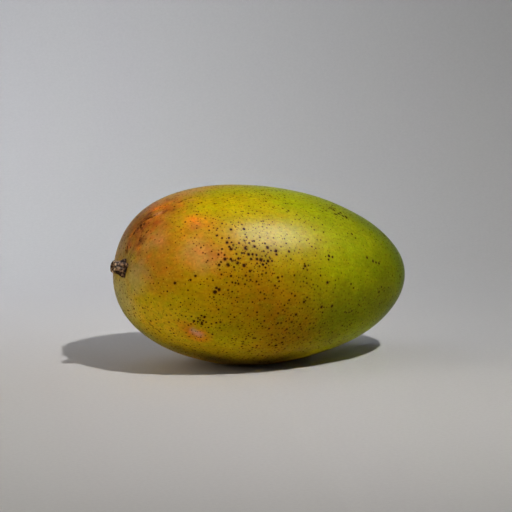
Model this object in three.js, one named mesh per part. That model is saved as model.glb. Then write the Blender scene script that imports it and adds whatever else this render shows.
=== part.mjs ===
// A ripe mango lying on its side, with the dry stub of its stem. Millimetres, +Z up.
// The stem end points to -X and the apex to +X. The origin is in the flat spot that the fruit rests on,
// under its centre of mass.
import * as THREE from 'three';

// Side outline of the fruit, in the X-Z plane: the four points that the skin passes through
const SEAT = new THREE.Vector2(-63, 45.5);
const CROWN = new THREE.Vector2(-12.5, 78);
const APEX = new THREE.Vector2(73, 34);
const KEEL = new THREE.Vector2(0, -0.6);

// The skin is pressed flat where it would reach below this level
const REST_LEVEL = 0;

// Reach of the outline's curve handles at those points, and the lean of both ends from upright
const UPPER_HANDLES = { seat: 19.5, before: 35.5, after: 49.5, apex: 17.5 };
const LOWER_HANDLES = { seat: 34.5, before: 23, after: 10.5, apex: 32.5 };
const END_LEAN = THREE.MathUtils.degToRad(12);

// The fruit's full width, and how far the stem sits off its middle plane
const FRUIT_WIDTH = 86;
const SEAT_SIDE_SHIFT = -1.5;

// The shallow dimple round the stem, and the small sunken scar of the flower at the apex
const DIMPLE_DEPTH = 0.7;
const DIMPLE_REACH = 6;
const SCAR_DEPTH = 0.4;
const SCAR_REACH = 2.5;

// The stem's root stands in a plain hole, clear of it all round
const ROOT_RADIUS = 2.6;
const ROOT_LENGTH = 3.6;
const CLEARANCE = 0.35;

// Fineness of the facets
const FRUIT_SIDES = 80;
const STEM_SIDES = 40;
const FIRST_STATION = 0.06;
const STEMWARD_RINGS = 16;
const APEXWARD_RINGS = 22;

// Rings of the stem stub from foot to tip: height above the skin, radius, and depth of lobes and ridges
const STEM_RINGS = [
  { height: 0.35, radius: 4.1, lobes: 0.45, ridges: 0 },
  { height: 0.8, radius: 4.35, lobes: 0.6, ridges: 0.05 },
  { height: 1.3, radius: 3.9, lobes: 0.5, ridges: 0.12 },
  { height: 1.9, radius: 3.25, lobes: 0.3, ridges: 0.18 },
  { height: 2.7, radius: 2.75, lobes: 0.15, ridges: 0.2 },
  { height: 3.6, radius: 2.6, lobes: 0.08, ridges: 0.2 },
  { height: 4.6, radius: 2.65, lobes: 0.05, ridges: 0.16 },
  { height: 5.4, radius: 2.7, lobes: 0.05, ridges: 0.12 },
  { height: 5.9, radius: 2.55, lobes: 0.05, ridges: 0.08 },
  { height: 6.0, radius: 2.2, lobes: 0.04, ridges: 0.04 },
  { height: 5.7, radius: 1.4, lobes: 0, ridges: 0 },
];
const TIP_HOLLOW_HEIGHT = 5.6;
const LOBE_COUNT = 5;
const RIDGE_COUNT = 10;

const seatUp = new THREE.Vector3(Math.sin(END_LEAN), 0, Math.cos(END_LEAN));
const seatAxis = new THREE.Vector3(-Math.cos(END_LEAN), 0, Math.sin(END_LEAN));
const seatPoint = new THREE.Vector3(SEAT.x, SEAT_SIDE_SHIFT, SEAT.y);
const apexPoint = new THREE.Vector3(APEX.x, 0, APEX.y);
const bellyHalfHeight = (CROWN.y - KEEL.y) / 2;

// One half of the side outline, over the crown (side 1) or under the keel (side -1).
// Station 0 is the seat, 1 the crown or keel, and 2 the apex.
function halfOutline(middle, handles, side) {
  const endDirection = new THREE.Vector2(Math.sin(END_LEAN), Math.cos(END_LEAN)).multiplyScalar(side);
  const along = new THREE.Vector2(1, 0);
  const stemward = new THREE.CubicBezierCurve(
    SEAT,
    SEAT.clone().addScaledVector(endDirection, handles.seat),
    middle.clone().addScaledVector(along, -handles.before),
    middle,
  );
  const apexward = new THREE.CubicBezierCurve(
    middle,
    middle.clone().addScaledVector(along, handles.after),
    APEX.clone().addScaledVector(endDirection, handles.apex),
    APEX,
  );
  return (station) => (station < 1 ? stemward.getPoint(station) : apexward.getPoint(station - 1));
}

const upperOutline = halfOutline(CROWN, UPPER_HANDLES, 1);
const lowerOutline = halfOutline(KEEL, LOWER_HANDLES, -1);

// How deep a round hollow is at a point, falling away from its middle
function hollowDepth(point, middle, depth, reach) {
  return depth * Math.exp(-point.distanceToSquared(middle) / (reach * reach));
}

// A point of the skin: each ring is an ellipse strung between the upper and the lower outline
function skinPoint(station, angle) {
  const upper = upperOutline(station);
  const lower = lowerOutline(station);
  const middle = upper.clone().add(lower).multiplyScalar(0.5);
  const half = upper.clone().sub(lower).multiplyScalar(0.5);
  const fullness = half.y / bellyHalfHeight;
  const sideShift = station < 1 ? SEAT_SIDE_SHIFT * (1 - fullness ** 2) ** 2 : 0;
  const point = new THREE.Vector3(
    middle.x + half.x * Math.sin(angle),
    sideShift + (fullness * FRUIT_WIDTH * Math.cos(angle)) / 2,
    middle.y + half.y * Math.sin(angle),
  );
  const dimple = hollowDepth(point, seatPoint, DIMPLE_DEPTH, DIMPLE_REACH);
  const scar = hollowDepth(point, apexPoint, SCAR_DEPTH, SCAR_REACH);
  point.addScaledVector(seatAxis, scar - dimple);
  point.z = Math.max(point.z, REST_LEVEL);
  return point;
}

// A ring of points, one for each side
function ring(sides, pointAt) {
  return Array.from({ length: sides }, (_, side) => pointAt((2 * Math.PI * side) / sides));
}

// A closed solid from rings of equal count, with a single point closing each end
function solidFromRings(startPoint, rings, endPoint) {
  const sides = rings[0].length;
  const points = [startPoint, ...rings.flat(), endPoint];
  const last = points.length - 1;
  const at = (row, side) => 1 + row * sides + (side % sides);
  const triangles = [];
  for (let side = 0; side < sides; side += 1) {
    triangles.push(0, at(0, side + 1), at(0, side));
    for (let row = 0; row + 1 < rings.length; row += 1) {
      triangles.push(at(row, side), at(row, side + 1), at(row + 1, side + 1));
      triangles.push(at(row, side), at(row + 1, side + 1), at(row + 1, side));
    }
    triangles.push(last, at(rings.length - 1, side), at(rings.length - 1, side + 1));
  }
  const geometry = new THREE.BufferGeometry().setFromPoints(points);
  geometry.setIndex(triangles);
  geometry.computeVertexNormals();
  return geometry;
}

// A point of the stem's hole: a distance in from the skin along the seat's axis, and out from that axis
function holePoint(depth, radius, angle) {
  return seatPoint.clone()
    .addScaledVector(seatAxis, -DIMPLE_DEPTH - depth)
    .addScaledVector(seatUp, radius * Math.sin(angle))
    .add(new THREE.Vector3(0, radius * Math.cos(angle), 0));
}

function makeFruit() {
  const holeRadius = ROOT_RADIUS + CLEARANCE;
  const holeDepth = ROOT_LENGTH + CLEARANCE;
  const stations = [];
  for (let step = 0; step < STEMWARD_RINGS; step += 1) {
    stations.push(FIRST_STATION + ((1 - FIRST_STATION) * step) / STEMWARD_RINGS);
  }
  for (let step = 0; step < APEXWARD_RINGS; step += 1) {
    stations.push(1 + step / APEXWARD_RINGS);
  }
  const rings = [
    ring(FRUIT_SIDES, (angle) => holePoint(holeDepth, holeRadius, angle)),
    ring(FRUIT_SIDES, (angle) => holePoint(0, holeRadius, angle)),
    ...stations.map((station) => ring(FRUIT_SIDES, (angle) => skinPoint(station, angle))),
  ];
  const geometry = solidFromRings(holePoint(holeDepth, 0, 0), rings, skinPoint(2, 0));
  const material = new THREE.MeshStandardMaterial({ color: 0x97830c, roughness: 0.42, metalness: 0 });
  const fruit = new THREE.Mesh(geometry, material);
  fruit.name = 'mango_fruit';
  return fruit;
}

// The stem stub stands along its own +Z, with its foot just clear of the skin at height 0
function makeStem() {
  const rootRing = (height) => ring(STEM_SIDES, (angle) => new THREE.Vector3(
    ROOT_RADIUS * Math.cos(angle),
    ROOT_RADIUS * Math.sin(angle),
    height,
  ));
  const barkRing = ({ height, radius, lobes, ridges }) => ring(STEM_SIDES, (angle) => {
    const reach = radius + lobes * Math.cos(LOBE_COUNT * angle) + ridges * Math.cos(RIDGE_COUNT * angle);
    return new THREE.Vector3(reach * Math.cos(angle), reach * Math.sin(angle), height);
  });
  const rings = [rootRing(-ROOT_LENGTH), rootRing(STEM_RINGS[0].height), ...STEM_RINGS.map(barkRing)];
  const geometry = solidFromRings(
    new THREE.Vector3(0, 0, -ROOT_LENGTH),
    rings,
    new THREE.Vector3(0, 0, TIP_HOLLOW_HEIGHT),
  );
  const material = new THREE.MeshStandardMaterial({ color: 0x4b3526, roughness: 0.9, metalness: 0 });
  const stem = new THREE.Mesh(geometry, material);
  stem.name = 'stem_stub';
  stem.position.copy(holePoint(0, 0, 0));
  stem.rotation.y = END_LEAN - Math.PI / 2;
  return stem;
}

const mango = new THREE.Group();
mango.add(makeFruit(), makeStem());

export default mango;
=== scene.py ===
import math

import bpy
import numpy as np
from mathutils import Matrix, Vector, noise
from mathutils.bvhtree import BVHTree
from mathutils.kdtree import KDTree


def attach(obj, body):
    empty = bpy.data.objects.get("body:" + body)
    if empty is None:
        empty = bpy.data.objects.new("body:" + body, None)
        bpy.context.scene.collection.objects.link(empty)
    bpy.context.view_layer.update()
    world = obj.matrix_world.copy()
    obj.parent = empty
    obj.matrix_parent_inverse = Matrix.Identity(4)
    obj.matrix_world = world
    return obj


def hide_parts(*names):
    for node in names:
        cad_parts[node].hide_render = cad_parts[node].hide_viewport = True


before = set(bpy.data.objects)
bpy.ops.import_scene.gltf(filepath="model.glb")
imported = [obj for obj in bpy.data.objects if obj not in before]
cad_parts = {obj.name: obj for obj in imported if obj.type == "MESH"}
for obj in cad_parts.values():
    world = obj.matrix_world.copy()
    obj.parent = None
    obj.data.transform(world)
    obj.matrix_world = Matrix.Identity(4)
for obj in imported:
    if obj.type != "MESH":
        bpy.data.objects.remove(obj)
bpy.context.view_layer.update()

MM = 0.001

# Side outline of the fruit in millimetres, as in the solid: the points that the skin passes through,
# the reach of the curve's handles at them, and the lean of both ends
SEAT = np.array((-63.0, 45.5))
CROWN = np.array((-12.5, 78.0))
APEX = np.array((73.0, 34.0))
KEEL = np.array((0.0, -0.6))
UPPER_HANDLES = {"seat": 19.5, "before": 35.5, "after": 49.5, "apex": 17.5}
LOWER_HANDLES = {"seat": 34.5, "before": 23.0, "after": 10.5, "apex": 32.5}
END_LEAN = math.radians(12)
FRUIT_WIDTH = 86.0
SEAT_SIDE_SHIFT = -1.5
DIMPLE_DEPTH = 0.7
DIMPLE_REACH = 6.0
SCAR_DEPTH = 0.4
SCAR_REACH = 2.5

# Fineness of the skin's mesh, and how far from the ends of the outline its first and last rings stand
SKIN_RINGS = 220
SKIN_SIDES = 360
OUTLINE_STEPS = 2000
END_MARGIN = 0.004

# Each layer of noise has a size in millimetres, a strength, and a seed that shifts it by these shares
NOISE_SHIFT = (1, 3.7, -1.9)

# Low relief of the skin, in millimetres: broad waves, and wrinkles round the stem with a wandering course
WAVE_NOISE = ((22, 0.25, 6),)
WRINKLE_NOISE = ((8, 4, 5),)
WRINKLE_HEIGHT = 0.1
WRINKLE_COUNT = 24
WRINKLE_REACH = 9.0

# The camera of the photograph: its place round the fruit, and where its image shows the fruit's middle
IMAGE_SIZE = 512
CAMERA_AZIMUTH = math.radians(-28)
CAMERA_ELEVATION = math.radians(8)
CAMERA_DISTANCE = 0.9
FOCAL_PIXELS = 2068
CAMERA_RIGHT = Vector((math.cos(CAMERA_AZIMUTH), math.sin(CAMERA_AZIMUTH), 0))
SENSOR_WIDTH = 36.0
MIDDLE_MM = (5, 0, 40)
FRUIT_MIDDLE = Vector(MIDDLE_MM) * MM
FRUIT_MIDDLE_PIXEL = (264.5, 270.4)

# Lights: place round the fruit in degrees and metres, aim and size in millimetres, power, colour, and
# spread in degrees. The key throws the sharp shadow. The top, wall and side lights lift the backdrop and
# the left side. The softbox shows only as the skin's highlight.
KEY = {
    "azimuth": 0.4, "elevation": 49.3, "distance": 0.68, "aim": (0, 75, 30), "size": 30,
    "power": 0.615, "colour": (1, 0.99, 0.985), "spread": 80,
}
TOP_LIGHT = {
    "azimuth": -140, "elevation": 75, "distance": 0.8, "aim": (-50, 350, 0), "size": 300,
    "power": 0.3, "colour": (0.85, 0.95, 1.3), "spread": 180,
}
WALL_LIGHT = {
    "azimuth": -141, "elevation": 45, "distance": 0.43, "aim": (110, 420, 60), "size": 200,
    "power": 0.35, "colour": (0.91, 0.99, 1.17), "spread": 130,
}
SIDE_FILL = {
    "azimuth": -95, "elevation": 24, "distance": 0.8, "aim": MIDDLE_MM, "size": 600,
    "power": 1.6, "colour": (1, 0.93, 0.8), "spread": 180,
}
SOFTBOX = {
    "azimuth": 39.5, "elevation": 53, "distance": 0.7, "aim": MIDDLE_MM, "size": 400,
    "power": 50.0, "colour": (1, 0.97, 0.92), "spread": 180,
}
WORLD_GREY = 0.05

# The paper sweep, in metres: a wide floor, and a backdrop that curves up from just above it
FLOOR_SIZE = 120.0
BACKDROP_START = 0.2
BACKDROP_RADIUS = 0.35
BACKDROP_HEIGHT = 1.4
BACKDROP_WIDTH = 4.0
BACKDROP_LIFT = 0.0002
BACKDROP_STEPS = 40

# Look of the paper: its two tones, the size of its grain in millimetres, and its roughness
PAPER_TONES = ((0.635, 0.62, 0.6), (0.705, 0.69, 0.668))
PAPER_GRAIN = 1.5
PAPER_ROUGHNESS = 0.9

# Colours of the skin, and of its painted shade and sheen, as linear red, green and blue
OCHRE = (0.45, 0.255, 0.001)
YELLOW = (0.53, 0.4, 0.001)
LEAF_GREEN = (0.35, 0.375, 0.001)
DULL_GREEN = (0.16, 0.155, 0.001)
BROWN_OLIVE = (0.27, 0.19, 0.001)
PALE_YELLOW = (0.72, 0.46, 0.01)
LIME = (0.36, 0.36, 0.001)
AMBER = (0.62, 0.29, 0.012)
DEEP_GREEN = (0.128, 0.174, 0.001)
BROWN_ORANGE = (0.31, 0.145, 0.001)
# Painted shade: a brown that darkens the lower middle of the side
PAINTED_LOWER_SHADE = (0.2, 0.11, 0.001)
# Painted shade: a dark brown for the underside next to the resting point
PAINTED_CONTACT_SHADE = (0.08, 0.055, 0.001)
OLIVE = (0.23, 0.195, 0.001)
# Painted shade: an olive brown for the lower edge of the underside
PAINTED_UNDERSIDE_SHADE = (0.2, 0.13, 0.001)
MOSS = (0.32, 0.295, 0.015)
BLUSH = (0.44, 0.13, 0.012)
RED_BROWN = (0.28, 0.08, 0.015)
DARK_RED_BROWN = (0.15, 0.045, 0.015)
ORANGE = (0.82, 0.25, 0.008)
ORANGE_TAN = (0.54, 0.22, 0.008)
BROWN_TAN = (0.4, 0.15, 0.008)
PURPLE = (0.10, 0.03, 0.012)
PINK = (0.56, 0.20, 0.03)
# A pink tan, also used for a painted sheen along the upper left edge
PINK_TAN_AND_SHEEN = (0.57, 0.28, 0.08)
SALMON = (0.66, 0.25, 0.1)
# Greyish tan skin round the stem end, with a painted sheen laid into it
GREY_TAN_AND_SHEEN = (0.55, 0.44, 0.12)
TAN_SHADE = (0.38, 0.25, 0.075)
PALE_SCAR = (0.66, 0.36, 0.18)
GREENER = (0.97, 1.02, 1)
REDDER = (1.03, 0.98, 1)
SPOT_BROWN = (0.028, 0.008, 0.001)
SPOT_SKIRT = (0.5, 0.25, 0.4)
PALE_SPECK = (0.6, 0.52, 0.05)

# The colour along the fruit, in millimetres from stem to apex. Higher skin turns green sooner, and noise
# makes the borders drift by some millimetres.
RIPENESS = ((-63, OCHRE), (-12, OCHRE), (20, LEAF_GREEN), (26, LEAF_GREEN), (66, DEEP_GREEN))
RIPENESS_TILT = 0.35
RIPENESS_DRIFT = 9.0
DRIFT_NOISE = ((30, 1, 1), (12, 0.5, 2))

# Mottling between redder and greener, stronger on redder skin
MOTTLE_NOISE = ((2.5, 1, 2.5), (5, 1, 5))
MOTTLE_STRENGTH = 0.33

# The noise that makes the edges of the colour patches uneven
EDGE_NOISE = ((9, 0.35, 3), (3.5, 0.25, 4))

# Colour patches on the side in the photograph, some of them painted shade and sheen: colour, first and last
# pixel, reach in millimetres, strength
SEEN_PATCHES = (
    (YELLOW, (198, 211), (256, 208), 11, 0.85),
    (LIME, (212, 192), (262, 190), 6, 0.7),
    (YELLOW, (245, 228), (305, 238), 11, 0.6),
    (YELLOW, (150, 310), (232, 340), 11, 0.9),
    (PALE_YELLOW, (138, 305), (176, 330), 10, 0.95),
    (YELLOW, (285, 256), (305, 252), 9, 0.4),
    (ORANGE_TAN, (150, 246), (205, 252), 10, 0.6),
    (ORANGE_TAN, (162, 233), (188, 231), 6, 0.5),
    (BROWN_TAN, (146, 228), (162, 272), 9, 0.65),
    (AMBER, (196, 250), (210, 232), 7, 0.6),
    (BROWN_ORANGE, (258, 292), (305, 330), 14, 0.85),
    # painted shade: a faint brown darkening over the lower middle of the side
    (PAINTED_LOWER_SHADE, (236, 320), (300, 326), 8, 0.2),
    (BROWN_OLIVE, (312, 282), (334, 300), 10, 0.6),
    (LEAF_GREEN, (335, 222), (362, 236), 11, 0.7),
    (DEEP_GREEN, (362, 222), (394, 250), 7, 0.45),
    (DULL_GREEN, (336, 318), (384, 288), 14, 0.85),
    (OLIVE, (141, 331), (179, 351.5), 4, 0.7),
    (MOSS, (117, 292), (129, 320), 6, 0.8),
    (MOSS, (129, 320), (150, 337), 5, 0.7),
    # painted shade: olive-brown darkening along the lower edge towards the resting point
    (PAINTED_UNDERSIDE_SHADE, (176, 347), (205, 356), 3.5, 0.7),
    # painted shade: a dark band along the underside next to the resting point
    (PAINTED_CONTACT_SHADE, (212, 358.5), (285, 358.5), 7.5, 1),
    (BLUSH, (140, 236), (170, 206), 9, 0.7),
    (RED_BROWN, (127, 237), (147, 215), 8, 0.8),
    (RED_BROWN, (150, 209), (172, 199), 5, 0.5),
    (DARK_RED_BROWN, (124, 236), (150, 206), 3.5, 0.7),
    # painted sheen: a pale pink-tan band along the upper left edge
    (PINK_TAN_AND_SHEEN, (152, 207), (198, 190.5), 5, 0.45),
    (PINK_TAN_AND_SHEEN, (147, 242), (158, 240), 4, 0.45),
    (PINK_TAN_AND_SHEEN, (194, 248), (203, 258), 5, 0.5),
    # greyish tan skin round the stem end, partly a painted sheen
    (GREY_TAN_AND_SHEEN, (121, 284), (127, 303), 6.5, 0.75),
    (TAN_SHADE, (122, 245), (135, 270), 6, 0.75),
    # greyish tan skin round the stem end, partly a painted sheen
    (GREY_TAN_AND_SHEEN, (132, 279), (135, 287), 4, 0.5),
    (YELLOW, (129, 255), (136, 259), 2, 0.35),
    (ORANGE, (193, 221.5), (200, 223), 3.3, 1),
    (PINK, (194, 226.5), (197, 226), 2.4, 0.8),
    (ORANGE, (156, 209.5), (168, 204), 2.2, 0.8),
    (ORANGE, (147, 221), (157, 216.5), 1.8, 0.5),
    (SALMON, (155, 214.8), (161, 212.6), 1.2, 0.8),
    (PURPLE, (140, 239), (142, 226), 3, 0.5),
    (PINK, (213, 258), (220, 256), 3.2, 0.7),
    (ORANGE, (190, 329), (202, 337), 3.4, 0.85),
    (PALE_SCAR, (193, 330.5), (199, 334), 1.3, 0.8),
)

# Small flecks strewn over the blush: their colours, the first and last pixel of the line that they stand
# round, their count, how far they stray from the line and their reach in millimetres, and their strength
FLECK_COLOURS = (PURPLE, DARK_RED_BROWN, BLUSH, BLUSH, ORANGE, PINK)
FLECK_LINE = ((132, 244), (176, 202))
FLECK_COUNT = 110
FLECK_STRAY = 5.0
FLECK_REACH = (0.5, 1.6)
FLECK_STRENGTH = (0.2, 0.6)
FLECK_SEED = 5

# Colour patches on the sides that the photograph doesn't show: colour, azimuth and elevation in degrees as
# seen from the middle of the fruit, reach in millimetres, strength
HIDDEN_PATCHES = (
    (YELLOW, (150, 40), 24, 0.7),
    (BLUSH, (-140, 35), 20, 0.6),
    (BROWN_ORANGE, (170, -5), 18, 0.6),
    (ORANGE, (-160, 10), 6, 0.5),
    (YELLOW, (-150, -25), 16, 0.6),
)

# Large lenticels in the photograph, all of one darkness: pixel across, pixel down, radius in millimetres
LARGE_DARKNESS = 0.95
LARGE_SPOTS = (
    (246, 248, 0.95), (228, 265, 0.8), (231, 249, 0.75), (227, 242.5, 0.65), (248.5, 254.3, 0.62),
    (244, 265.5, 0.75), (237.5, 263, 0.7), (225, 259, 0.7), (219, 265, 0.6), (254.5, 246.5, 0.65),
    (217, 235.5, 0.5), (231, 229.5, 0.55), (244, 229, 0.55), (267.5, 247.5, 0.7), (276, 251, 0.75),
    (261, 260, 0.8), (268, 261, 0.65), (263, 264.5, 0.6), (257, 259, 0.6), (289, 251.5, 0.5),
    (215, 292, 0.85), (219, 289.5, 0.75), (216.5, 288, 0.6), (175, 283, 0.6), (190.5, 280, 0.5),
    (195.5, 276, 0.5), (202, 324, 0.6), (204.5, 317, 0.6), (194, 321, 0.55), (276, 345.5, 0.65),
    (282, 342.5, 0.55), (305, 266, 0.65), (327.5, 282.5, 0.65), (329, 256, 0.6), (367, 257.5, 0.55),
    (373, 261, 0.6), (379, 263.5, 0.55), (321.5, 307, 0.65), (332, 306, 0.6), (304, 302, 0.6),
    (296, 314.5, 0.55), (250, 271, 0.55), (278, 277.5, 0.55), (332.5, 257, 0.5), (328.5, 259.5, 0.45),
    (376, 262.5, 0.5), (379, 292, 0.55), (381.5, 287, 0.4), (352, 234, 0.5), (355.5, 238, 0.4),
    (346, 217, 0.9), (343, 216, 0.7), (150.7, 321, 0.45), (146.7, 329.4, 0.45), (159, 331, 0.42),
    (252.5, 254.4, 0.55), (229.5, 247, 0.55), (229, 238, 0.45), (222, 238, 0.42), (231.5, 242.5, 0.42),
    (239, 243, 0.42), (256.5, 255, 0.5), (251, 259, 0.6), (242, 253, 0.45), (236.5, 254, 0.45),
    (238.5, 258.5, 0.55), (231, 259, 0.6), (224.5, 255, 0.45), (218.5, 254.5, 0.5), (222, 249, 0.42),
    (221, 262, 0.42), (234, 267, 0.42), (264, 261, 0.5), (272, 261, 0.45), (266.5, 263.5, 0.45),
    (265.5, 267.5, 0.42), (257, 263.3, 0.42), (276.5, 254.5, 0.55), (265, 243.5, 0.45), (231, 276, 0.48),
    (221.5, 274.5, 0.42), (235.5, 283, 0.42), (245, 284.3, 0.42), (256.5, 281.4, 0.42), (266, 273, 0.42),
    (279, 281.3, 0.42), (282, 276.5, 0.42), (275, 285.6, 0.42), (295, 295.8, 0.42), (303.5, 268.5, 0.42),
    (304.5, 264, 0.4), (320.5, 275.5, 0.42), (351, 284, 0.42), (353.5, 288, 0.36), (322.5, 312.5, 0.42),
    (345, 312, 0.42), (198, 318, 0.42), (201.5, 315.7, 0.42), (203.3, 320.8, 0.42), (208.5, 327.6, 0.42),
    (191.5, 316.5, 0.38), (211.5, 323.8, 0.38),
)

# Dark streaks are broken into dashes: their spacing and length in millimetres, and their stray, size and
# darkness as shares of the streak's
DASH_SPACING = 0.7
DASH_LENGTH = (0.2, 1.0)
DASH_STRAY = 0.9
DASH_SIZE = (0.5, 1.1)
DASH_DARKNESS = (0.5, 1.2)

# The streaks in the photograph: first and last pixel, radius in millimetres, darkness
STREAKS = (
    ((141, 224.5), (142.8, 229), 0.75, 0.7),
    ((142.8, 229), (141, 236.5), 0.4, 0.55),
    ((141, 236), (140.3, 240.5), 0.55, 0.75),
    ((137, 225), (146, 219.5), 0.45, 0.6),
    ((146, 219.5), (154.5, 215.3), 0.5, 0.8),
    ((148, 214.5), (156, 210), 0.4, 0.55),
    ((160.5, 213.8), (165, 212.5), 0.4, 0.6),
    ((178, 202.8), (186, 199.5), 0.4, 0.65),
    ((186, 199.5), (198, 195.3), 0.38, 0.6),
    ((136, 229.5), (133.5, 234), 0.45, 0.75),
    ((146.3, 233.2), (148, 231.8), 0.45, 0.85),
    ((127.3, 243), (127.3, 251), 0.3, 0.95),
    ((128, 252), (134.5, 258.5), 0.25, 0.5),
    ((331, 207.5), (333.5, 209.5), 0.8, 0.8),
    ((380, 230), (383, 234), 0.8, 0.7),
    ((149, 323), (154, 328), 0.4, 0.6),
    ((156, 329), (161, 333), 0.35, 0.6),
)

# The small lenticels: how many are tried, their spacing in millimetres and how it varies, their radius in
# millimetres, which is mostly near the least, and their darkness
SMALL_SPOT_TRIES = 24000
SPOT_SPACING = 1.3
SPACING_RANGE = (0.5, 1.5)
SMALL_RADIUS = (0.17, 0.45)
SMALL_RADIUS_POWER = 3
SMALL_DARKNESS = (0.65, 1)
SPOT_SEED = 11

# They stand in loose clumps, and thin out towards the apex over a length from a start on X, in millimetres
CLUMP_SIZE = 9.0
CLUMP_DROPPED = 0.6
APEX_DROPPED = 0.72
THINNING_START = -20
THINNING_LENGTH = 90

# Places where they are closer and larger: pixel, reach in millimetres, share off the spacing, growth
CROWDED_PLACES = (
    ((246, 256), 14.0, 0.5, 0.2),
    ((338, 212), 7.0, 0.2, 0.7),
    ((203, 321), 6.0, 0.3, 0.4),
    ((250, 343), 6.0, 0.3, 0.4),
    ((290, 328), 9.0, 0.2, 0.3),
)

# Places where few stand, and those small: pixel, reach in millimetres, share dropped
EMPTY_SHRINKING = 0.35
EMPTY_PLACES = (
    ((172, 258), 20.0, 0.76),
    ((135, 280), 10.0, 0.8),
    ((288, 232), 10.0, 0.5),
    ((355, 250), 15.0, 0.7),
    ((350, 276), 14.0, 0.6),
    ((385, 262), 14.0, 0.75),
)

# Look of a spot, in shares of its radius: where its dark core fades, where its brown skirt starts and ends,
# and how ragged its edge is. The size of that edge's noise is in millimetres.
CORE_FADE = (0.75, 1.1)
SKIRT_START = 0.9
SPOT_HALO = 1.9
SKIRT_STRENGTH = 0.55
RAGGEDNESS = 0.2
RAGGED_SIZE = 0.35

# In millimetres: how far outside a spot the faces still know it, and the radius for faces that know none
SPOT_MARGIN = 1.0
BLANK_RADIUS = 0.01

# Grain of the skin: the usual range of a noise node's values, then the sizes of the noises in millimetres
# and the brightness they vary between. Fibres run from stem to apex and are counted round the fruit.
NOISE_RANGE = (0.3, 0.7)
FINE_SIZE = 1.1
FINE_TONES = (0.89, 1.11)
BROAD_SIZE = 6
BROAD_TONES = (0.92, 1.08)
FIBRE_COUNT = 40
FIBRE_TONES = (0.94, 1.06)
BLOTCH_SIZE = 3
BLOTCH_DETAIL = 4.0

# Pale specks in the skin: spacing in millimetres, the shares of it over which they fade, and strength
SPECK_SPACING = 1.6
SPECK_FADE = (0.08, 0.2)
SPECK_STRENGTH = 0.3

# The skin's wax: range of roughness, shine, and the size, detail, strength and height of its fine bumps
WAX_ROUGHNESS = (0.27, 0.33)
WAX_SHINE = 0.02
BUMP_SIZE = 0.7
BUMP_DETAIL = 1.0
BUMP_STRENGTH = 0.12
BUMP_HEIGHT = 0.15

# Rings of the stem stub from foot to tip: height above the seat, radius, depth of lobes and of grooves
STEM_RINGS = (
    (-1.0, 3.4, 0.6, 0.3),
    (0.2, 3.5, 0.75, 0.7),
    (0.8, 3.5, 0.75, 0.8),
    (1.3, 3.4, 0.6, 0.8),
    (1.9, 3.3, 0.35, 0.7),
    (2.6, 2.95, 0.2, 0.6),
    (3.4, 2.75, 0.12, 0.5),
    (4.3, 2.7, 0.1, 0.4),
    (5.0, 2.7, 0.1, 0.35),
    (5.35, 2.6, 0.08, 0.25),
    (5.5, 2.35, 0.05, 0.1),
    (5.45, 2.0, 0.04, 0),
    (5.2, 1.3, 0, 0),
    (5.1, 0.4, 0, 0),
)
LOBE_COUNT = 5
RIDGE_COUNT = 10
STEM_FINENESS = 8
STEM_SIDES = 240

# The stem's lobes and ridges wander to uneven widths by waves: count round the stem, phase, twist with each
# millimetre of height, strength. Its bark is rough, and the pits between its lobes get painted shade up to
# a height.
STEM_WANDER = 0.28
WANDER_WAVES = ((2, 1, 0, 1), (3, 0, 0.2, 0.5))
STEM_NOISE = ((1.3, 0.3, 8),)
GROOVE_POWER = 0.6
PIT_SHADE_HEIGHT = 2

# The pale ring on the cut tip: radius, width and least height in millimetres, and how full its rim is. It
# is broken into segments, and it fades out on the side away from the photograph's camera.
CUT_RADIUS = 2.4
CUT_WIDTH = 0.45
CUT_HEIGHT = 5.2
CUT_FULLNESS = 1.5
CUT_SEGMENTS = 7
SEGMENT_PHASE = 0.6
SEGMENT_FULLNESS = 0.5
SEGMENT_CONTRAST = 1.5
CUT_FADE = 0.6

# Look of the bark: its colours, the size and the fade of its pale patches, and its grain, bumps and shine
BARK_DARK = (0.03, 0.012, 0.005)
BARK_PALE = (0.37, 0.2, 0.09)
# painted shade in the grooves and in the pits between the lobes
BARK_GROOVE_SHADE = (0.008, 0.004, 0.002)
CUT_PALE = (0.8, 0.55, 0.3)
BARK_PATCH_SIZE = 0.9
BARK_PATCH_FADE = (0.44, 0.64)
BARK_GRAIN_SIZE = 0.5
BARK_BUMP_STRENGTH = 0.5
BARK_BUMP_HEIGHT = 0.2
BARK_ROUGHNESS = 0.85
BARK_SHINE = 0.2

# A run whose squared length in metres is less than this counts as a single point
LEAST_RUN_SQUARED = 1e-12


def direction(azimuth, elevation):
    """The unit vector from the fruit towards a place round it; azimuth 0 is in front, on -Y."""
    level = math.cos(elevation)
    return Vector((math.sin(azimuth) * level, -math.cos(azimuth) * level, math.sin(elevation)))


def bezier(a, b, c, d, t):
    """Points of the cubic curve from a to d with the handles b and c."""
    t = t[:, None]
    return (1 - t) ** 3 * a + 3 * (1 - t) ** 2 * t * b + 3 * (1 - t) * t**2 * c + t**3 * d


def half_outline(middle, handles, side, stations):
    """Side outline over the crown (side 1) or under the keel (-1); station 0 is the seat, 2 the apex."""
    ends = side * np.array((math.sin(END_LEAN), math.cos(END_LEAN)))
    along = np.array((1.0, 0.0))
    stemward = bezier(
        SEAT,
        SEAT + handles["seat"] * ends,
        middle - handles["before"] * along,
        middle,
        np.clip(stations, 0, 1),
    )
    apexward = bezier(
        middle,
        middle + handles["after"] * along,
        APEX + handles["apex"] * ends,
        APEX,
        np.clip(stations - 1, 0, 1),
    )
    return np.where(stations[:, None] < 1, stemward, apexward)


def step_lengths(points):
    return np.linalg.norm(np.diff(points, axis=0), axis=1)


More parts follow.
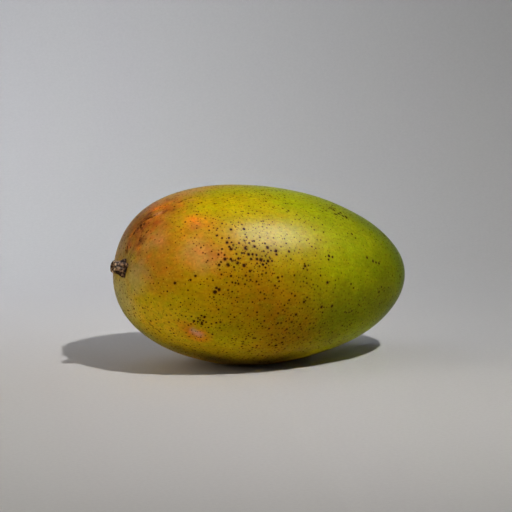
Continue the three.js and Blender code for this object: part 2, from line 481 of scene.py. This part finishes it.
def even_stations(count):
    """Stations that share the outline's length evenly, just short of both ends."""
    fine = np.linspace(END_MARGIN, 2 - END_MARGIN, OUTLINE_STEPS)
    upper = half_outline(CROWN, UPPER_HANDLES, 1, fine)
    lower = half_outline(KEEL, LOWER_HANDLES, -1, fine)
    steps = step_lengths(upper) + step_lengths(lower)
    length = np.concatenate(([0], np.cumsum(steps)))
    return np.interp(np.linspace(0, length[-1], count), length, fine)


def seat_frame():
    """The seat's point in metres, its axis out of the fruit, and the direction up along its face."""
    point = np.array((SEAT[0], SEAT_SIDE_SHIFT, SEAT[1])) * MM
    axis = np.array((-math.cos(END_LEAN), 0, math.sin(END_LEAN)))
    up = np.array((math.sin(END_LEAN), 0, math.cos(END_LEAN)))
    return point, axis, up


def skin_grid(stations, angles):
    """Points of the smooth skin in metres: each ring is an ellipse strung between the two outlines."""
    upper = half_outline(CROWN, UPPER_HANDLES, 1, stations)
    lower = half_outline(KEEL, LOWER_HANDLES, -1, stations)
    middle = (upper + lower) / 2
    half = (upper - lower) / 2
    fullness = 2 * half[:, 1] / (CROWN[1] - KEEL[1])
    side_shift = np.where(stations < 1, SEAT_SIDE_SHIFT * (1 - fullness**2) ** 2, 0)
    x = middle[:, :1] + half[:, :1] * np.sin(angles)
    y = side_shift[:, None] + fullness[:, None] * FRUIT_WIDTH / 2 * np.cos(angles)
    z = middle[:, 1:] + half[:, 1:] * np.sin(angles)
    points = np.stack((x, y, z), axis=2) * MM
    seat, seat_axis, _ = seat_frame()
    apex = np.array((APEX[0], 0, APEX[1])) * MM
    dimple = DIMPLE_DEPTH * np.exp(-((points - seat) ** 2).sum(axis=2) / (DIMPLE_REACH * MM) ** 2)
    scar = SCAR_DEPTH * np.exp(-((points - apex) ** 2).sum(axis=2) / (SCAR_REACH * MM) ** 2)
    return points + (scar - dimple)[:, :, None] * MM * seat_axis


def noise_field(points, size, seed):
    """Smooth noise from -1 to 1 at each point, with features of a size in millimetres."""
    shift = Vector([seed * share for share in NOISE_SHIFT])
    return np.array([noise.noise(Vector(point) / (size * MM) + shift) for point in points])


def layered_noise(points, layers):
    """The sum of some layers of noise at each point."""
    return sum(strength * noise_field(points, size, seed) for size, strength, seed in layers)


def add_relief(rings):
    """Broad unevenness all over, and faint wrinkles that run out from the stem."""
    along = np.gradient(rings, axis=0)
    around = np.roll(rings, -1, axis=1) - np.roll(rings, 1, axis=1)
    normals = np.cross(around, along)
    normals /= np.linalg.norm(normals, axis=2, keepdims=True)
    points = rings.reshape(-1, 3)
    seat, _, seat_up = seat_frame()
    out = points - seat
    turn = np.arctan2(out[:, 1], out @ seat_up)
    away = np.linalg.norm(out, axis=1) / (WRINKLE_REACH * MM)
    course = WRINKLE_COUNT * turn + layered_noise(points, WRINKLE_NOISE)
    wrinkles = np.cos(course) * away * np.exp(-(away**2))
    height = layered_noise(points, WAVE_NOISE) + WRINKLE_HEIGHT * wrinkles
    raised = points + height[:, None] * MM * normals.reshape(-1, 3)
    raised[:, 2] = np.maximum(raised[:, 2], 0)
    return raised.reshape(rings.shape)


def mesh_from_rings(name, rings):
    """A closed mesh from rings of equal count, with one more point closing each end."""
    count, sides, _ = rings.shape
    ends = np.stack((rings[0].mean(axis=0), rings[-1].mean(axis=0)))
    points = np.concatenate((rings.reshape(-1, 3), ends))
    row = np.arange(count * sides).reshape(count, sides)
    ahead = np.roll(row, -1, axis=1)
    quads = np.stack((row[:-1], ahead[:-1], ahead[1:], row[1:]), axis=2).reshape(-1, 4)
    start_fan = [(count * sides, b, a) for a, b in zip(row[0], ahead[0])]
    end_fan = [(count * sides + 1, a, b) for a, b in zip(row[-1], ahead[-1])]
    mesh = bpy.data.meshes.new(name)
    mesh.from_pydata(points.tolist(), [], quads.tolist() + start_fan + end_fan)
    mesh.shade_smooth()
    piece = bpy.data.objects.new(name, mesh)
    bpy.context.scene.collection.objects.link(piece)
    return piece


def mesh_points(mesh):
    return np.array([vertex.co for vertex in mesh.vertices])


def add_attribute(mesh, name, kind, domain, field, values):
    data = mesh.attributes.new(name, kind, domain).data
    data.foreach_set(field, np.asarray(values, dtype=np.float32).ravel())


def make_camera():
    data = bpy.data.cameras.new("camera")
    data.sensor_width = SENSOR_WIDTH
    data.lens = SENSOR_WIDTH * FOCAL_PIXELS / IMAGE_SIZE
    data.clip_end = FLOOR_SIZE
    camera = bpy.data.objects.new("camera", data)
    back = direction(CAMERA_AZIMUTH, CAMERA_ELEVATION)
    up = back.cross(CAMERA_RIGHT)
    per_pixel = CAMERA_DISTANCE / FOCAL_PIXELS
    across = (IMAGE_SIZE / 2 - FRUIT_MIDDLE_PIXEL[0]) * per_pixel
    upwards = (FRUIT_MIDDLE_PIXEL[1] - IMAGE_SIZE / 2) * per_pixel
    aim = FRUIT_MIDDLE + CAMERA_RIGHT * across + up * upwards
    camera.location = FRUIT_MIDDLE + back * CAMERA_DISTANCE
    camera.rotation_mode = "QUATERNION"
    camera.rotation_quaternion = (aim - camera.location).to_track_quat("-Z", "Y")
    bpy.context.scene.collection.objects.link(camera)
    bpy.context.scene.camera = camera
    return camera


def add_light(name, setting):
    data = bpy.data.lights.new(name, "AREA")
    data.shape = "DISK"
    data.size = setting["size"] * MM
    data.energy = setting["power"]
    data.color = setting["colour"]
    data.spread = math.radians(setting["spread"])
    light = bpy.data.objects.new(name, data)
    towards = direction(math.radians(setting["azimuth"]), math.radians(setting["elevation"]))
    light.location = FRUIT_MIDDLE + towards * setting["distance"]
    light.rotation_mode = "QUATERNION"
    light.rotation_quaternion = (Vector(setting["aim"]) * MM - light.location).to_track_quat("-Z", "Y")
    light.visible_camera = False
    bpy.context.scene.collection.objects.link(light)
    return light


def make_lights():
    key = add_light("key", KEY)
    key.visible_glossy = False
    add_light("top_light", TOP_LIGHT)
    add_light("wall_light", WALL_LIGHT)
    add_light("side_fill", SIDE_FILL)
    softbox = add_light("softbox", SOFTBOX)
    softbox.visible_diffuse = False


def make_world():
    world = bpy.data.worlds.new("studio")
    world.use_nodes = True
    background = world.node_tree.nodes["Background"]
    background.inputs["Color"].default_value = (WORLD_GREY, WORLD_GREY, WORLD_GREY, 1)
    bpy.context.scene.world = world


def node(material, kind, inputs=None, **settings):
    """A new node of a material; an input that is another node's output is linked, any other is set."""
    made = material.node_tree.nodes.new(kind)
    for name, value in settings.items():
        setattr(made, name, value)
    for name, value in (inputs or {}).items():
        if isinstance(value, bpy.types.NodeSocket):
            material.node_tree.links.new(value, made.inputs[name])
        else:
            made.inputs[name].default_value = value
    return made


def new_material(name):
    """A material with nodes, and its shader."""
    material = bpy.data.materials.new(name)
    material.use_nodes = True
    return material, material.node_tree.nodes["Principled BSDF"]


def calculate(material, operation, first, second=0.0):
    return node(material, "ShaderNodeMath", {0: first, 1: second}, operation=operation).outputs[0]


def remap(material, value, low, high, to_low, to_high):
    """A value's range carried over to another with soft ends."""
    inputs = {"Value": value, "From Min": low, "From Max": high, "To Min": to_low, "To Max": to_high}
    made = node(material, "ShaderNodeMapRange", inputs, interpolation_type="SMOOTHSTEP")
    return made.outputs["Result"]


def opaque(colour):
    """A colour as the inputs of nodes take it, with a fourth part for full cover."""
    return (*colour, 1)


def mix_colour(material, factor, first, second, blend="MIX"):
    """Two colours mixed; the node has them as its inputs 6 and 7, and the mixture as its output 2."""
    inputs = {0: factor, 6: first, 7: second}
    return node(material, "ShaderNodeMix", inputs, data_type="RGBA", blend_type=blend).outputs[2]


def multiply_colours(material, first, second):
    return mix_colour(material, 1.0, first, second, "MULTIPLY")


def noise_value(material, place, size, detail=2.0):
    """Smooth noise from 0 to 1 with features of a size in millimetres."""
    inputs = {"Vector": place, "Scale": 1 / (size * MM), "Detail": detail}
    return node(material, "ShaderNodeTexNoise", inputs).outputs["Fac"]


def noise_between(material, value, low, high):
    """The usual range of a noise carried over to another."""
    return remap(material, value, *NOISE_RANGE, low, high)


def object_place(material):
    return node(material, "ShaderNodeTexCoord").outputs["Object"]


def attribute(material, name, output):
    return node(material, "ShaderNodeAttribute", attribute_name=name).outputs[output]


def add_sheet(name, points, faces, material):
    mesh = bpy.data.meshes.new(name)
    mesh.from_pydata(points, [], faces)
    mesh.shade_smooth()
    mesh.materials.append(material)
    sheet = bpy.data.objects.new(name, mesh)
    bpy.context.scene.collection.objects.link(sheet)


def paper_material():
    """Matt pale paper that can only be seen from its lit side, so it hides nothing from behind."""
    material, paper = new_material("paper")
    grain = noise_value(material, object_place(material), PAPER_GRAIN)
    tone = mix_colour(material, grain, *[opaque(colour) for colour in PAPER_TONES])
    links = material.node_tree.links
    links.new(tone, paper.inputs["Base Color"])
    paper.inputs["Roughness"].default_value = PAPER_ROUGHNESS
    paper.inputs["Specular IOR Level"].default_value = 0
    side = node(material, "ShaderNodeNewGeometry").outputs["Backfacing"]
    clear = node(material, "ShaderNodeBsdfTransparent").outputs["BSDF"]
    seen = node(material, "ShaderNodeMixShader", {0: side, 1: paper.outputs["BSDF"], 2: clear})
    links.new(seen.outputs["Shader"], material.node_tree.nodes["Material Output"].inputs["Surface"])
    return material


def make_sweep():
    material = paper_material()
    half = FLOOR_SIZE / 2
    corners = [(-half, -half, 0), (half, -half, 0), (half, half, 0), (-half, half, 0)]
    add_sheet("floor", corners, [(0, 1, 2, 3)], material)
    away = -direction(CAMERA_AZIMUTH, 0)
    side = CAMERA_RIGHT * BACKDROP_WIDTH / 2
    profile = []
    for step in range(BACKDROP_STEPS + 1):
        bend = math.pi / 2 * step / BACKDROP_STEPS
        reach = BACKDROP_START + BACKDROP_RADIUS * math.sin(bend)
        height = BACKDROP_RADIUS * (1 - math.cos(bend)) + BACKDROP_LIFT
        profile.append(away * reach + Vector((0, 0, height)))
    profile.append(profile[-1] + Vector((0, 0, BACKDROP_HEIGHT)))
    points = [corner for place in profile for corner in (place - side, place + side)]
    faces = [(2 * row, 2 * row + 1, 2 * row + 3, 2 * row + 2) for row in range(len(profile) - 1)]
    add_sheet("backdrop", points, faces, material)


def skin_at(tree, camera, pixel):
    """The skin's point at a pixel of the photograph."""
    across = (pixel[0] - IMAGE_SIZE / 2) / FOCAL_PIXELS
    upwards = (IMAGE_SIZE / 2 - pixel[1]) / FOCAL_PIXELS
    sight = camera.rotation_quaternion @ Vector((across, upwards, -1)).normalized()
    return tree.ray_cast(camera.location, sight)[0]


def skin_towards(tree, azimuth, elevation):
    """The skin's point in a direction from the middle of the fruit."""
    towards = direction(math.radians(azimuth), math.radians(elevation))
    return tree.ray_cast(FRUIT_MIDDLE + towards, -towards)[0]


def segment_distance(points, start, end):
    """Distance of each point from the straight line between two points."""
    start = np.array(start)
    along = np.array(end) - start
    share = np.clip((points - start) @ along / max(along @ along, LEAST_RUN_SQUARED), 0, 1)
    return np.linalg.norm(points - start - share[:, None] * along, axis=1)


def blush_flecks(tree, camera):
    """Patches for the flecks of the blush, each drawn out a little towards the stem."""
    chance = np.random.default_rng(FLECK_SEED)
    first, last = (skin_at(tree, camera, pixel) for pixel in FLECK_LINE)
    stem = Vector(seat_frame()[0])
    flecks = []
    for _ in range(FLECK_COUNT):
        colour = FLECK_COLOURS[chance.integers(len(FLECK_COLOURS))]
        stray = Vector(chance.normal(0, FLECK_STRAY * MM, 3))
        start = tree.find_nearest(first.lerp(last, chance.random()) + stray)[0]
        reach = chance.uniform(*FLECK_REACH)
        end = start + (stem - start).normalized() * reach * MM
        flecks.append((colour, start, end, reach, chance.uniform(*FLECK_STRENGTH)))
    return flecks


def ripeness_colours(points):
    """The colour along the fruit at each point, before the patches."""
    drift = RIPENESS_DRIFT * layered_noise(points, DRIFT_NOISE)
    along = points[:, 0] / MM + RIPENESS_TILT * (points[:, 2] / MM - MIDDLE_MM[2]) + drift
    stops = [stop for stop, _ in RIPENESS]
    channels = zip(*[colour for _, colour in RIPENESS])
    return np.stack([np.interp(along, stops, levels) for levels in channels], axis=1)


def colour_patches(tree, camera):
    """All patches of colour, painted shade and sheen: colour, first and last point on the skin, reach and
    strength.
    """
    patches = []
    for colour, place, reach, strength in HIDDEN_PATCHES:
        middle = skin_towards(tree, *place)
        patches.append((colour, middle, middle, reach, strength))
    for colour, *pixels, reach, strength in SEEN_PATCHES:
        first, last = (skin_at(tree, camera, pixel) for pixel in pixels)
        patches.append((colour, first, last, reach, strength))
    return patches + blush_flecks(tree, camera)


def skin_colours(points, tree, camera):
    """The skin's colour at each point: the ripeness with patches, some of them painted shade and sheen, and
    mottling laid over it.
    """
    colours = ripeness_colours(points)
    edge = 1 + layered_noise(points, EDGE_NOISE)
    for colour, first, last, reach, strength in colour_patches(tree, camera):
        away = segment_distance(points, first, last) * edge / (reach * MM)
        share = strength * np.exp(-(away**2))
        colours += share[:, None] * (np.array(colour) - colours)
    redness = np.clip(1 - colours[:, 1] / colours[:, 0], 0, 1)
    change = MOTTLE_STRENGTH * redness**2 * layered_noise(points, MOTTLE_NOISE)
    colours[:, :2] *= np.stack((1 + change, 1 - change), axis=1)
    return colours


def named_spots(tree, camera, chance):
    """Start, run, radius and darkness of the lenticels and streaks that the photograph shows singly."""
    spots = []
    for *pixel, radius in LARGE_SPOTS:
        spots.append((skin_at(tree, camera, pixel), Vector(), radius * MM, LARGE_DARKNESS))
    for start, end, radius, darkness in STREAKS:
        first = skin_at(tree, camera, start)
        run = skin_at(tree, camera, end) - first
        for _ in range(math.ceil(run.length / (DASH_SPACING * MM))):
            place = first + run * chance.random() + Vector(chance.normal(0, radius * DASH_STRAY * MM, 3))
            dash = run.normalized() * MM * chance.uniform(*DASH_LENGTH)
            size = radius * MM * chance.uniform(*DASH_SIZE)
            depth = darkness * chance.uniform(*DASH_DARKNESS)
            spots.append((tree.find_nearest(place)[0], dash, size, depth))
    return spots


def closeness(place, middle, reach):
    """How close a place is to a middle: 1 there, falling to 0 beyond its reach in millimetres."""
    return math.exp(-((np.linalg.norm(place - np.array(middle)) / (reach * MM)) ** 2))


def small_spots(mesh, taken, crowded, empty, chance):
    """Small lenticels strewn over the whole skin, clear of each other and of the spots already there."""
    areas = np.array([face.area for face in mesh.polygons])
    places = np.array([spot[0] for spot in taken])
    spots = []
    for face in chance.choice(len(areas), SMALL_SPOT_TRIES, p=areas / areas.sum()):
        place = np.array(mesh.polygons[face].center)
        apexward = np.clip((place[0] / MM - THINNING_START) / THINNING_LENGTH, 0, 1)
        # Noise is mostly between -0.5 and 0.5, so this is mostly between 0 and 1
        clump = 0.5 + noise.noise(Vector(place) / (CLUMP_SIZE * MM))
        dropped = [APEX_DROPPED * apexward, CLUMP_DROPPED * (1 - clump)]
        dropped += [share * closeness(place, middle, reach) for middle, reach, share in empty]
        if chance.random() < max(dropped):
            continue
        spacing = SPOT_SPACING * MM * chance.uniform(*SPACING_RANGE)
        least, most = SMALL_RADIUS
        radius = least + (most - least) * chance.random() ** SMALL_RADIUS_POWER
        for middle, reach, _ in empty:
            radius *= 1 - EMPTY_SHRINKING * closeness(place, middle, reach)
        for middle, reach, crowding, growth in crowded:
            near = closeness(place, middle, reach)
            spacing *= 1 - crowding * near
            radius *= 1 + growth * near
        if np.linalg.norm(places - place, axis=1).min() < spacing:
            continue
        spots.append((Vector(place), Vector(), radius * MM, chance.uniform(*SMALL_DARKNESS)))
        places = np.vstack((places, place))
    return spots


def paint_spots(mesh, spots):
    """Give each face the spot that covers it, as start, run, radius and darkness."""
    count = len(mesh.polygons)
    faces = KDTree(count)
    for face in mesh.polygons:
        faces.insert(face.center, face.index)
    faces.balance()
    nearest = np.full(count, np.inf)
    starts = np.zeros((count, 3))
    runs = np.zeros((count, 3))
    radii = np.full(count, BLANK_RADIUS * MM)
    darknesses = np.zeros(count)
    for start, run, radius, darkness in spots:
        reach = run.length / 2 + SPOT_HALO * radius + SPOT_MARGIN * MM
        found = faces.find_range(start + run / 2, reach)
        centres = np.array([centre for centre, _, _ in found])
        for (_, face, _), away in zip(found, segment_distance(centres, start, start + run)):
            if away / radius < nearest[face]:
                nearest[face] = away / radius
                starts[face] = start
                runs[face] = run
                radii[face] = radius
                darknesses[face] = darkness
    add_attribute(mesh, "spot_start", "FLOAT_VECTOR", "FACE", "vector", starts)
    add_attribute(mesh, "spot_run", "FLOAT_VECTOR", "FACE", "vector", runs)
    add_attribute(mesh, "spot_radius", "FLOAT", "FACE", "value", radii)
    add_attribute(mesh, "spot_darkness", "FLOAT", "FACE", "value", darknesses)


def vector_math(material, operation, first, second, output="Vector"):
    made = node(material, "ShaderNodeVectorMath", {0: first, 1: second}, operation=operation)
    return made.outputs[output]


def spot_distance(material, place):
    """How far a place is from the run of its spot, as a share of the spot's radius."""
    run = attribute(material, "spot_run", "Vector")
    out = vector_math(material, "SUBTRACT", place, attribute(material, "spot_start", "Vector"))
    length_squared = vector_math(material, "DOT_PRODUCT", run, run, "Value")
    reached = vector_math(material, "DOT_PRODUCT", out, run, "Value")
    share = calculate(material, "DIVIDE", reached, length_squared)
    share = node(material, "ShaderNodeClamp", {"Value": share}).outputs["Result"]
    along = node(material, "ShaderNodeVectorMath", {0: run, "Scale": share}, operation="SCALE")
    away = vector_math(material, "DISTANCE", out, along.outputs["Vector"], "Value")
    return calculate(material, "DIVIDE", away, attribute(material, "spot_radius", "Fac"))


def grained_colour(material, place, fine):
    """The painted colour with a fine mottle, fibres and pale specks."""
    broad = noise_value(material, place, BROAD_SIZE)
    fibre_inputs = {"Vector": attribute(material, "fibre_place", "Vector"), "Scale": FIBRE_COUNT}
    fibre = node(material, "ShaderNodeTexNoise", fibre_inputs).outputs["Fac"]
    mottle = calculate(
        material,
        "MULTIPLY",
        noise_between(material, fine, *FINE_TONES),
        noise_between(material, broad, *BROAD_TONES),
    )
    mottle = calculate(material, "MULTIPLY", mottle, noise_between(material, fibre, *FIBRE_TONES))
    colour = multiply_colours(material, attribute(material, "skin_colour", "Color"), mottle)
    blotch = noise_value(material, place, BLOTCH_SIZE, BLOTCH_DETAIL)
    for tint_noise, low, high in ((blotch, GREENER, REDDER), (fibre, REDDER, GREENER)):
        share = noise_between(material, tint_noise, 0, 1)
        colour = multiply_colours(material, colour, mix_colour(material, share, opaque(low), opaque(high)))
    speck_inputs = {"Vector": place, "Scale": 1 / (SPECK_SPACING * MM)}
    speck = node(material, "ShaderNodeTexVoronoi", speck_inputs).outputs["Distance"]
    specks = remap(material, speck, *SPECK_FADE, SPECK_STRENGTH, 0)
    return mix_colour(material, specks, colour, opaque(PALE_SPECK))


def spot_cover(material, place):
    """How far its spot's dark core and brown skirt cover a place, from 0 to 1."""
    edge = noise_between(material, noise_value(material, place, RAGGED_SIZE), -RAGGEDNESS, RAGGEDNESS)
    ragged = calculate(material, "ADD", spot_distance(material, place), edge)
    core = remap(material, ragged, *CORE_FADE, 1.0, 0.0)
    skirt = remap(material, ragged, SKIRT_START, SPOT_HALO, SKIRT_STRENGTH, 0.0)
    darkness = attribute(material, "spot_darkness", "Fac")
    return [calculate(material, "MULTIPLY", part, darkness) for part in (core, skirt)]


def skin_material():
    """Waxy skin: the grained colour with dark lenticels in brown skirts, and fine bumps."""
    material, shader = new_material("skin")
    place = object_place(material)
    fine = noise_value(material, place, FINE_SIZE)
    core, skirt = spot_cover(material, place)
    colour = grained_colour(material, place, fine)
    colour = mix_colour(material, skirt, colour, opaque(SPOT_SKIRT), "MULTIPLY")
    colour = mix_colour(material, core, colour, opaque(SPOT_BROWN))
    waxy = noise_between(material, fine, *WAX_ROUGHNESS)
    roughness = calculate(material, "MAXIMUM", waxy, core)
    grain = noise_value(material, place, BUMP_SIZE, BUMP_DETAIL)
    height = calculate(material, "SUBTRACT", grain, core)
    bump_inputs = {"Strength": BUMP_STRENGTH, "Distance": BUMP_HEIGHT * MM, "Height": height}
    bump = node(material, "ShaderNodeBump", bump_inputs)
    links = material.node_tree.links
    links.new(colour, shader.inputs["Base Color"])
    links.new(roughness, shader.inputs["Roughness"])
    links.new(bump.outputs["Normal"], shader.inputs["Normal"])
    shader.inputs["Specular IOR Level"].default_value = WAX_SHINE
    return material


def fibre_places(angles):
    """A place for each point of the skin in a tube, where the fibres run straight along the third axis."""
    around = np.tile(np.stack((np.cos(angles), np.sin(angles)), axis=1), (SKIN_RINGS, 1))
    along = np.repeat(np.linspace(0, 1, SKIN_RINGS), SKIN_SIDES)
    return np.vstack((np.column_stack((around, along)), ((0, 0, 0), (0, 0, 1))))


def make_skin(camera):
    angles = np.arange(SKIN_SIDES) * 2 * math.pi / SKIN_SIDES
    rings = add_relief(skin_grid(even_stations(SKIN_RINGS), angles))
    skin = mesh_from_rings("mango_skin", rings)
    mesh = skin.data
    points = mesh_points(mesh)
    faces = [tuple(face.vertices) for face in mesh.polygons]
    tree = BVHTree.FromPolygons([Vector(point) for point in points], faces)
    colours = skin_colours(points, tree, camera)
    # the skin's colours, including the painted shade and sheen of some patches
    add_attribute(mesh, "skin_colour", "FLOAT_COLOR", "POINT", "color", np.insert(colours, 3, 1, axis=1))
    add_attribute(mesh, "fibre_place", "FLOAT_VECTOR", "POINT", "vector", fibre_places(angles))
    chance = np.random.default_rng(SPOT_SEED)
    spots = named_spots(tree, camera, chance)
    crowded = [(skin_at(tree, camera, pixel), *rest) for pixel, *rest in CROWDED_PLACES]
    empty = [(skin_at(tree, camera, pixel), *rest) for pixel, *rest in EMPTY_PLACES]
    spots += small_spots(mesh, spots, crowded, empty, chance)
    paint_spots(mesh, spots)
    mesh.materials.append(skin_material())
    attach(skin, "root")
    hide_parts("mango_fruit")


def bark_material():
    """Dry grey-brown bark with painted shade in its grooves, and a pale broken ring on the cut tip."""
    material, shader = new_material("bark")
    place = object_place(material)
    grain = noise_value(material, place, BARK_GRAIN_SIZE)
    patches = remap(material, noise_value(material, place, BARK_PATCH_SIZE), *BARK_PATCH_FADE, 0, 1)
    colour = mix_colour(material, patches, opaque(BARK_DARK), opaque(BARK_PALE))
    # painted shade in the grooves and the pits between the lobes
    colour = mix_colour(material, attribute(material, "groove", "Fac"), colour, opaque(BARK_GROOVE_SHADE))
    colour = mix_colour(material, attribute(material, "cut_ring", "Fac"), colour, opaque(CUT_PALE))
    bump_inputs = {"Strength": BARK_BUMP_STRENGTH, "Distance": BARK_BUMP_HEIGHT * MM, "Height": grain}
    bump = node(material, "ShaderNodeBump", bump_inputs)
    links = material.node_tree.links
    links.new(colour, shader.inputs["Base Color"])
    links.new(bump.outputs["Normal"], shader.inputs["Normal"])
    shader.inputs["Roughness"].default_value = BARK_ROUGHNESS
    shader.inputs["Specular IOR Level"].default_value = BARK_SHINE
    return material


def stem_columns():
    """Height, radius, lobes and grooves of the fine rings that fill up between the stem's named ones."""
    keys = np.array(STEM_RINGS)
    steps = np.linspace(0, len(keys) - 1, STEM_FINENESS * (len(keys) - 1) + 1)
    return [np.interp(steps, np.arange(len(keys)), column)[:, None] for column in keys.T]


def cut_ring(height, radius, angles):
    """How pale each point of the stem is by the broken ring on its cut tip, from 0 to 1."""
    ring = np.clip(CUT_FULLNESS - np.abs(radius - CUT_RADIUS) / CUT_WIDTH, 0, 1) * (height > CUT_HEIGHT)
    wave = np.cos(CUT_SEGMENTS * angles + SEGMENT_PHASE)
    segments = np.clip(SEGMENT_FULLNESS + SEGMENT_CONTRAST * wave, 0, 1)
    return ring * segments * np.clip(CUT_FADE - np.sin(angles), 0, 1)


def make_stem():
    height, radius, lobes, grooves = stem_columns()
    angles = np.arange(STEM_SIDES) * 2 * math.pi / STEM_SIDES
    turn = angles
    for count, phase, twist, strength in WANDER_WAVES:
        turn = turn + STEM_WANDER * strength * np.sin(count * angles + phase + twist * height)
    lobe_wave = np.cos(LOBE_COUNT * turn)
    groove = 1 - np.abs(np.cos(RIDGE_COUNT / 2 * turn)) ** GROOVE_POWER
    reach = radius + lobes * lobe_wave - grooves * groove
    seat, axis, up = seat_frame()
    side = np.array((0.0, 1.0, 0.0))
    foot = seat - DIMPLE_DEPTH * MM * axis
    outward = np.cos(angles)[:, None] * up + np.sin(angles)[:, None] * side
    rings = foot + MM * (height[:, :, None] * axis + reach[:, :, None] * outward)
    roughness = layered_noise(rings.reshape(-1, 3), STEM_NOISE).reshape(reach.shape)
    rings += MM * roughness[:, :, None] * outward
    stem = mesh_from_rings("stem_bark", rings)
    mesh = stem.data
    # painted shade: dark pits between the lobes up to a height, and dark grooves
    pits = np.clip(-lobe_wave, 0, 1) * np.clip(PIT_SHADE_HEIGHT - height, 0, 1)
    darkness = np.clip(np.maximum(groove * (grooves > 0), pits), 0, 1)
    cut = cut_ring(height, radius, angles)
    add_attribute(mesh, "groove", "FLOAT", "POINT", "value", np.append(darkness, (0, 0)))
    add_attribute(mesh, "cut_ring", "FLOAT", "POINT", "value", np.append(cut, (0, 0)))
    mesh.materials.append(bark_material())
    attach(stem, "root")
    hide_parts("stem_stub")


camera = make_camera()
make_world()
make_lights()
make_sweep()
make_skin(camera)
make_stem()
bpy.context.scene.view_settings.view_transform = "Standard"
